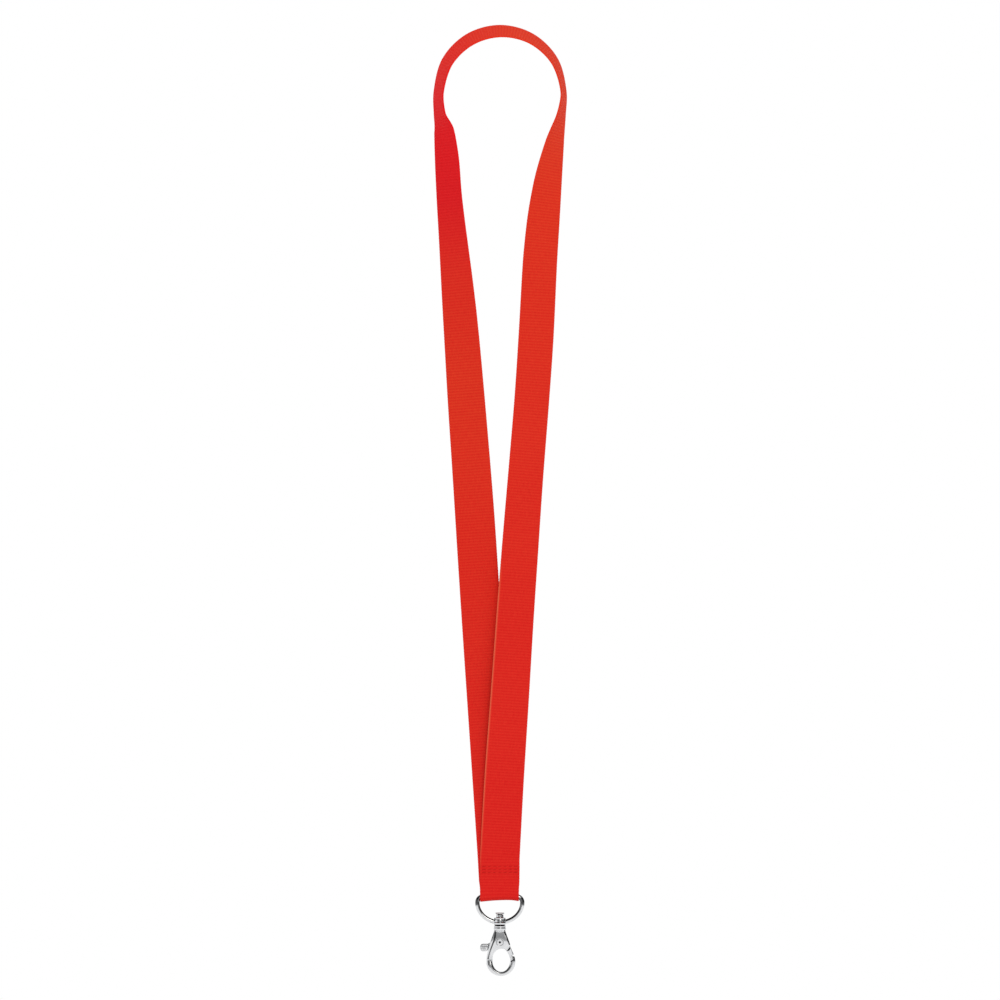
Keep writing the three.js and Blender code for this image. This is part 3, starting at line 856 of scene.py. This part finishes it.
def make_gate_lever():
    """Thumb tab, hub and gate arm in one casting; tab and arm are thicker where they leave the slot."""
    hub = rod(HUB_RADIUS, -LEVER_THICKNESS / 2, LEVER_THICKNESS / 2, PIVOT)
    web = ((-0.6, 2.1), (-6.9, -1.3), (-6.9, -4.2), (-0.8, -2.1))
    thumb = plate([Vector(p) for p in web], LEVER_THICKNESS, PIVOT)
    arm = plate(gate_arm(), LEVER_THICKNESS, PIVOT)
    thick = cut(plate(gate_arm(), ARM_THICKNESS, PIVOT, bevel=0.8), [rod(SLOT_REACH, -4, 4, PIVOT)])
    tab = plate(thumb_tab(), TAB_THICKNESS, PIVOT, bevel=0.5)
    for wedge, lean in ((tab, 0.075), (thick, 0.07)):
        for vert in wedge.data.vertices:
            vert.co.y *= 1 + lean * ((vert.co.z - PIVOT.z) / MM + 3.0)
    pocket = 0.05  # the spring lies behind this depth, and the pocket clears it through the whole travel
    cutters = [
        rod(RIVET_BORE, -3, 3, PIVOT),
        rod(1.85, pocket, 3, PIVOT),
    ]
    leg_sweep = ((0.5, -0.9), (-4.3, -1.0), (-4.35, -1.8), (-3.9, -2.8), (-3.1, -3.6), (0.85, -1.65))
    end_sweep = ((1.95, -0.2), (1.85, 3.0), (1.1, 3.5), (0.3, 3.6), (-0.6, 3.2), (0.8, 0.2))
    for sweep in (leg_sweep, end_sweep):
        cutters.append(plate([Vector(p) for p in sweep], 2.0, PIVOT + Vector((0, pocket + 1.0, 0)) * MM))
    lever = cast("gate_lever_casting", [hub, thumb, arm, thick, tab], cutters, LEVER_VOXEL, passes=4)
    press_tab_grooves(lever)
    # Painted shade and painted dark reflections: a wavy dark line across the thumb tab, a dark wedge where
    # the gate leaves the slot, and a dark line down the arm's right side.
    marks = []
    wave = [(-9.6 + 0.3 * i, -2.15 + 0.25 * math.sin(0.9 * i)) for i in range(13)]
    root = [(5.85 * math.cos(math.radians(a)), 5.85 * math.sin(math.radians(a))) for a in (-33, -38, -43)]
    back = ((5.4, -2.4), (6.2, -4.2), (6.85, -5.9))
    for side in (-1, 1):
        marks.append(([at(x, z, side * 2.2) for x, z in wave], 0.24, 0.7))
        marks.append(([at(x, z, side * 1.5) for x, z in root], 0.5))
        marks.append(([at(x, z, side * 1.2) for x, z in back], 0.5))
    painted_shade(lever, marks)
    return lever


def make_gate_spring():
    """A torsion spring: a leg on the lever, one and a quarter turns, and an end up in the slot."""
    first, radius, pitch, wire_radius = 0.3, 1.4, 0.45, 0.15
    path = [(x, first, -radius) for x in (-3.9, -2.8, -1.4, -0.6)]
    for angle in np.linspace(-math.pi / 2, 2 * math.pi, 60):
        depth = first + pitch * (angle + math.pi / 2) / (2 * math.pi)
        path.append((radius * math.cos(angle), depth, radius * math.sin(angle)))
    end = path[-1]
    path += [(end[0], end[1], height) for height in (0.5, 1.2, 2.0, SLOT_TOP - 0.2)]
    return tube("gate_spring_wire", [PIVOT + Vector(p) * MM for p in path], wire_radius * MM, sides=10)


# ---- Nodes ----


def new_material(name):
    """A material with nodes: itself, its tree and its Principled shader."""
    material = bpy.data.materials.new(name)
    material.use_nodes = True
    tree = material.node_tree
    return material, tree, tree.nodes["Principled BSDF"]


def link(tree, source, target):
    """Joins an output to an input."""
    tree.links.new(source, target)


def feed(tree, socket, value):
    """Sets an input to a number or a colour, or links it to another node's output."""
    if isinstance(value, (int, float, tuple)):
        socket.default_value = value
    else:
        link(tree, value, socket)


def add_node(tree, kind, **settings):
    """A new node; a setting that starts with in_ is one of its inputs."""
    node = tree.nodes.new(kind)
    for key, value in settings.items():
        if key.startswith("in_"):
            node.inputs[key[3:].replace("_", " ")].default_value = value
        else:
            setattr(node, key, value)
    return node


def math_node(tree, operation, first, second=None):
    """Works out one step of arithmetic, and gives its result."""
    node = add_node(tree, "ShaderNodeMath", operation=operation)
    feed(tree, node.inputs[0], first)
    if second is not None:
        feed(tree, node.inputs[1], second)
    return node.outputs[0]


def scaled(tree, source, factor, offset):
    """source times factor, plus offset."""
    return math_node(tree, "ADD", math_node(tree, "MULTIPLY", source, factor), offset)


def ramp(tree, source, stops):
    """The colour of source on a ramp of (position, colour) stops."""
    node = add_node(tree, "ShaderNodeValToRGB")
    while len(node.color_ramp.elements) < len(stops):
        node.color_ramp.elements.new(0.5)
    for element, (position, colour) in zip(node.color_ramp.elements, stops):
        element.position = position
        element.color = (*colour, 1)
    link(tree, source, node.inputs["Fac"])
    return node.outputs["Color"]


def mix(tree, share, first, second, **settings):
    """Mixes the second colour over the first."""
    node = add_node(tree, "ShaderNodeMixRGB", **settings)
    for socket, value in zip(node.inputs, (share, first, second)):
        feed(tree, socket, value)
    return node.outputs[0]


def noise(tree, place, scale, detail, roughness=0.5):
    """Noise round a place, from 0 to 1."""
    node = add_node(
        tree, "ShaderNodeTexNoise", in_Scale=scale, in_Detail=detail, in_Roughness=roughness
    )
    link(tree, place, node.inputs["Vector"])
    return node.outputs["Fac"]


def stored(tree, name, output):
    """A value that the mesh stores at its points."""
    return add_node(tree, "ShaderNodeAttribute", attribute_name=name).outputs[output]


def split_axes(tree, source):
    """The X, Y and Z of a vector."""
    node = add_node(tree, "ShaderNodeSeparateXYZ")
    link(tree, source, node.inputs[0])
    return node.outputs


def bump(tree, shader, height, strength, distance):
    """Raises the surface a little where height is high."""
    node = add_node(tree, "ShaderNodeBump", in_Strength=strength, in_Distance=distance)
    link(tree, height, node.inputs["Height"])
    link(tree, node.outputs[0], shader.inputs["Normal"])


# ---- Materials ----

# Painted light and shade along the ribbon: more orange and brighter where warm light and sheen fall, on the
# loop's top and right side and the straps' middles, redder where the loop's left side turns from the light;
# distance along the ribbon, its red and its green.
PAINTED_LIGHT_TINT = [
    (0.00, 0.655, 0.019), (0.15, 0.655, 0.024), (0.35, 0.66, 0.035), (0.43, 0.69, 0.044),
    (0.47, 0.73, 0.046), (0.505, 0.73, 0.023), (0.53, 0.73, 0.010), (0.58, 0.665, 0.0115),
    (0.62, 0.66, 0.027), (0.67, 0.655, 0.036), (0.80, 0.65, 0.026), (0.95, 0.655, 0.019),
]
TINT_GREEN_SCALE = 0.1  # the ramp holds green as a share of this
DYE_BLUE = 0.0155
# The painted highlight's colour on the front strap's left selvedge.
EDGE_HIGHLIGHT_COLOUR = (0.72, 0.15, 0.075, 1)
THREAD_DARK = (0.40, 0.010, 0.009)
THREAD_LIGHT = (0.53, 0.014, 0.012)
YARN_PITCH = 0.00042            # from one lengthways yarn to the next
YARN_STRETCH = (260, 2600, 0)   # the yarns' streaks run along the ribbon
TWIST_SCALE = 2600.0
YARN_SHINE = 0.07
YARN_SHINE_TINT = (1.0, 0.35, 0.15, 1)
SHEEN_TINT = (1.0, 0.30, 0.06, 1)
# The near-black colour of the painted shade and painted dark reflections on the metal parts.
PAINTED_SHADE_COLOUR = (0.02, 0.02, 0.022, 1)


def weave_pattern(tree):
    """Distance along the ribbon, its yarns' crossings, its single yarns, and a tone of yarn variation with
    painted shade in the rib valleys.
    """
    weave = stored(tree, "weave", "Vector")
    axes = split_axes(tree, weave)
    run, across = axes["X"], axes["Y"]
    ribs = math_node(tree, "COSINE", math_node(tree, "MULTIPLY", run, 2 * math.pi / RIB_PITCH))
    ends = math_node(tree, "SINE", math_node(tree, "MULTIPLY", across, 2 * math.pi / YARN_PITCH))
    picks = math_node(tree, "MULTIPLY", ribs, ends)
    stretched = add_node(tree, "ShaderNodeVectorMath", operation="MULTIPLY")
    link(tree, weave, stretched.inputs[0])
    stretched.inputs[1].default_value = YARN_STRETCH
    yarn = noise(tree, stretched.outputs[0], scale=1.0, detail=3.0, roughness=0.6)
    broad = noise(tree, weave, scale=14.0, detail=2.0)
    # The ribs' share darkens the rib valleys: painted shade.
    mixed = math_node(
        tree, "ADD", math_node(tree, "MULTIPLY", ribs, 0.16), math_node(tree, "MULTIPLY", picks, 0.1)
    )
    mixed = math_node(tree, "ADD", mixed, yarn)
    mixed = math_node(tree, "ADD", mixed, math_node(tree, "MULTIPLY", broad, 0.35))
    return run, picks, yarn, math_node(tree, "MULTIPLY", mixed, 0.6)


def dye_with_painted_light(tree, run, yarn_tone_and_rib_shade):
    """The dye's red with painted light and shade along the ribbon, varied by the yarns' tone and by painted
    shade in the rib valleys.
    """
    stops = [(place, (red, green / TINT_GREEN_SCALE, 0)) for place, red, green in PAINTED_LIGHT_TINT]
    # fade is the painted light and shade tint, read off by distance along the ribbon.
    fade = split_axes(tree, ramp(tree, run, stops))
    red = math_node(tree, "MULTIPLY", fade["X"], scaled(tree, yarn_tone_and_rib_shade, 0.28, 0.87))
    green = math_node(tree, "MULTIPLY", fade["Y"], scaled(tree, yarn_tone_and_rib_shade, 0.18, 0.012))
    blue = math_node(tree, "MULTIPLY", math_node(tree, "ADD", yarn_tone_and_rib_shade, 0.5), DYE_BLUE)
    colour = add_node(tree, "ShaderNodeCombineColor")
    for socket, value in zip(colour.inputs, (red, green, blue)):
        link(tree, value, socket)
    return colour.outputs[0]


def yarn_shine(shader):
    """The faint reddish shine of dyed polyester."""
    shader.inputs["Specular IOR Level"].default_value = YARN_SHINE
    shader.inputs["Specular Tint"].default_value = YARN_SHINE_TINT


def ribbon_material():
    """Red ribbed weave with single yarns, painted light and shade along the ribbon and in its rib valleys,
    and a painted highlight on the front strap's left selvedge.
    """
    material, tree, shader = new_material("ribbon_weave")
    run, picks, yarn, yarn_tone_and_rib_shade = weave_pattern(tree)
    # Mixes in the painted highlight on the front strap's left selvedge.
    edge = stored(tree, "painted_edge_highlight", "Fac")
    colour = mix(tree, edge, dye_with_painted_light(tree, run, yarn_tone_and_rib_shade), EDGE_HIGHLIGHT_COLOUR)
    link(tree, colour, shader.inputs["Base Color"])
    link(tree, scaled(tree, yarn, 0.2, 0.65), shader.inputs["Roughness"])
    yarn_shine(shader)
    shader.inputs["Sheen Weight"].default_value = 0.02
    shader.inputs["Sheen Roughness"].default_value = 0.5
    shader.inputs["Sheen Tint"].default_value = SHEEN_TINT
    height = math_node(tree, "ADD", math_node(tree, "MULTIPLY", picks, 0.5), yarn)
    bump(tree, shader, height, strength=0.5, distance=0.00005)
    return material


def thread_material():
    """Twisted sewing thread, a little darker than the ribbon."""
    material, tree, shader = new_material("seam_thread")
    place = add_node(tree, "ShaderNodeTexCoord").outputs["Object"]
    wave = add_node(
        tree, "ShaderNodeTexWave", in_Scale=TWIST_SCALE, in_Distortion=1.5, bands_direction="DIAGONAL"
    )
    link(tree, place, wave.inputs["Vector"])
    twist = wave.outputs["Fac"]
    link(tree, ramp(tree, twist, [(0.0, THREAD_DARK), (1.0, THREAD_LIGHT)]), shader.inputs["Base Color"])
    link(tree, scaled(tree, twist, 0.15, 0.7), shader.inputs["Roughness"])
    yarn_shine(shader)
    bump(tree, shader, twist, strength=0.6, distance=0.00004)
    return material


def metal_material(name, bright, dull, roughness, grain, metallic=1.0):
    """Plated metal: faint clouding, fine scuffs, painted shade in its hollows and a lighter tone on its
    edges, both by pointiness, and painted shade and painted dark reflections along its marked lines.
    """
    material, tree, shader = new_material(name)
    place = add_node(tree, "ShaderNodeTexCoord").outputs["Object"]
    cloud = noise(tree, place, scale=220.0, detail=4.0, roughness=0.6)
    scuff = noise(tree, place, scale=1500.0, detail=6.0, roughness=0.7)
    # Pointiness paints shade into the hollows and lightens the edges.
    hollow = add_node(tree, "ShaderNodeNewGeometry").outputs["Pointiness"]
    edge = math_node(tree, "SUBTRACT", hollow, 0.5)
    tone = math_node(tree, "ADD", math_node(tree, "MULTIPLY", cloud, 0.7), edge)
    plated = ramp(tree, tone, [(0.15, dull), (0.6, bright)])
    # The stored marks mix in painted shade and painted dark reflections.
    link(tree, mix(tree, stored(tree, "painted_shade", "Fac"), plated, PAINTED_SHADE_COLOUR), shader.inputs["Base Color"])
    shader.inputs["Metallic"].default_value = metallic
    link(tree, scaled(tree, scuff, grain, roughness), shader.inputs["Roughness"])
    bump(tree, shader, scuff, strength=0.08, distance=0.00003)
    return material


# ---- Build ----


def fit(piece, body, nodes, material):
    """Puts a piece on its body in place of its CAD nodes and its look."""
    piece.data.materials.clear()
    piece.data.materials.append(material)
    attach(piece, body)
    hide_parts(*nodes)
    return piece


ribbon_look = ribbon_material()
thread_look = thread_material()
plating = metal_material(
    "nickel_plating", bright=(0.86, 0.87, 0.88), dull=(0.66, 0.67, 0.69), roughness=0.08, grain=0.12
)
rivet_steel = metal_material(
    "rivet_steel", bright=(0.88, 0.88, 0.89), dull=(0.70, 0.71, 0.73), roughness=0.3, grain=0.16,
    metallic=0.5,
)
spring_steel = metal_material(
    "spring_steel", bright=(0.62, 0.62, 0.64), dull=(0.40, 0.41, 0.43), roughness=0.25, grain=0.2
)

ribbon = fit(make_ribbon(), "ribbon", ["neck_ribbon"], ribbon_look)
stitches = [
    fit(make_stitches(row, height), "ribbon", [f"seam_stitch_{row}"], thread_look)
    for row, height in SEAM_ROWS.items()
]

fit(make_d_ring(), "ring", ["d_ring"], plating)
fit(make_hook_body(), "hook", ["hook_body"], plating)
fit(make_swivel_post(), "hook", ["swivel_post"], plating)
fit(make_pivot_rivet(), "hook", ["gate_pivot_rivet"], rivet_steel)
fit(make_gate_spring(), "hook", ["gate_spring"], spring_steel)
fit(make_gate_lever(), "gate", ["gate_lever"], plating)

# ---- Stage and light ----

FLOOR_HEIGHT = -0.60
FLOOR_RADIUS = 3.0
KEY_PLACE = (0.35, -1.3, 0.3)
KEY_SIZE = (0.6, 0.6)
KEY_POWER = 3
KEY_COLOUR = (1.0, 0.97, 0.92)
STUDIO_STRENGTH = 1.15
WHITE = (1, 1, 1, 1)

# What reflections see, as (position, brightness). Up: from straight down, 0, to straight up, 1.
BY_HEIGHT = [(0.42, 1), (0.60, 0.8), (0.66, 0.3), (0.72, 0.03), (0.975, 0.03), (1.0, 0.5)]
# Round: from behind, 0, by the left, 0.25, the front, 0.5, and the right, 0.75, to behind again, 1.
BY_BEARING = [
    (0.00, 1), (0.10, 1), (0.12, 0.5), (0.14, 1), (0.35, 1), (0.37, 0.05), (0.43, 0.05),
    (0.46, 0.40), (0.53, 0.40), (0.57, 0.10), (0.66, 0.25), (0.74, 0.05), (0.88, 0.12), (0.91, 1),
]


def make_floor():
    """A plain pale floor well below the lanyard."""
    bpy.ops.mesh.primitive_circle_add(
        vertices=96, radius=FLOOR_RADIUS, fill_type="NGON", location=(MIDDLE.x, 0, FLOOR_HEIGHT)
    )
    floor = bpy.context.object
    floor.name = "floor"
    material, tree, shader = new_material("pale_floor")
    shade = add_node(tree, "ShaderNodeTexNoise", in_Scale=6.0, in_Detail=2.0).outputs["Fac"]
    link(tree, ramp(tree, shade, grey_stops([(0.3, 0.89), (0.7, 0.91)])), shader.inputs["Base Color"])
    shader.inputs["Roughness"].default_value = 0.9
    floor.data.materials.append(material)


def make_light(name, place, size, power, colour):
    """A soft rectangular light that faces the middle of the lanyard."""
    data = bpy.data.lights.new(name, "AREA")
    data.shape = "RECTANGLE"
    data.size, data.size_y = size
    data.energy = power
    data.color = colour
    light = bpy.data.objects.new(name, data)
    bpy.context.collection.objects.link(light)
    light.location = place
    light.rotation_euler = (MIDDLE - Vector(place)).to_track_quat("-Z", "Y").to_euler()


def grey_stops(stops):
    """Ramp stops from (position, brightness) pairs."""
    return [(position, (level,) * 3) for position, level in stops]


def studio_colour(tree):
    """Bands by height and by bearing; in front, what is below is bright, as over a pale table."""
    place = add_node(tree, "ShaderNodeTexCoord").outputs["Generated"]
    axes = split_axes(tree, place)
    by_height = ramp(tree, scaled(tree, axes["Z"], 0.5, 0.5), grey_stops(BY_HEIGHT))
    front = math_node(tree, "MULTIPLY", axes["Y"], -1.0)
    bearing = math_node(tree, "ARCTAN2", axes["X"], front)
    turn = math_node(tree, "ADD", math_node(tree, "DIVIDE", bearing, 2 * math.pi), 0.5)
    by_bearing = ramp(tree, turn, grey_stops(BY_BEARING))
    down = math_node(tree, "MULTIPLY", axes["Z"], -1.0)
    low = ramp(tree, down, grey_stops([(0.02, 0), (0.3, 1)]))
    from_front = math_node(tree, "ABSOLUTE", math_node(tree, "SUBTRACT", turn, 0.5))
    facing = ramp(tree, from_front, grey_stops([(0.12, 1), (0.3, 0)]))
    below = math_node(tree, "MULTIPLY", low, facing)
    sideways = mix(tree, below, by_bearing, WHITE)
    return mix(tree, 1.0, by_height, sideways, blend_type="MULTIPLY")


def make_world():
    """A white room; reflections see a banded studio instead."""
    world = bpy.data.worlds.new("studio")
    bpy.context.scene.world = world
    world.use_nodes = True
    tree = world.node_tree
    room = tree.nodes["Background"]
    room.inputs["Color"].default_value = WHITE
    studio = add_node(tree, "ShaderNodeBackground", in_Strength=STUDIO_STRENGTH)
    link(tree, studio_colour(tree), studio.inputs["Color"])
    glossy = add_node(tree, "ShaderNodeLightPath").outputs["Is Glossy Ray"]
    choice = add_node(tree, "ShaderNodeMixShader")
    for socket, source in zip(choice.inputs, (glossy, room.outputs[0], studio.outputs[0])):
        link(tree, source, socket)
    link(tree, choice.outputs[0], tree.nodes["World Output"].inputs["Surface"])


make_floor()
make_world()
make_light("key", KEY_PLACE, KEY_SIZE, KEY_POWER, KEY_COLOUR)
bpy.context.scene.view_settings.view_transform = "Standard"
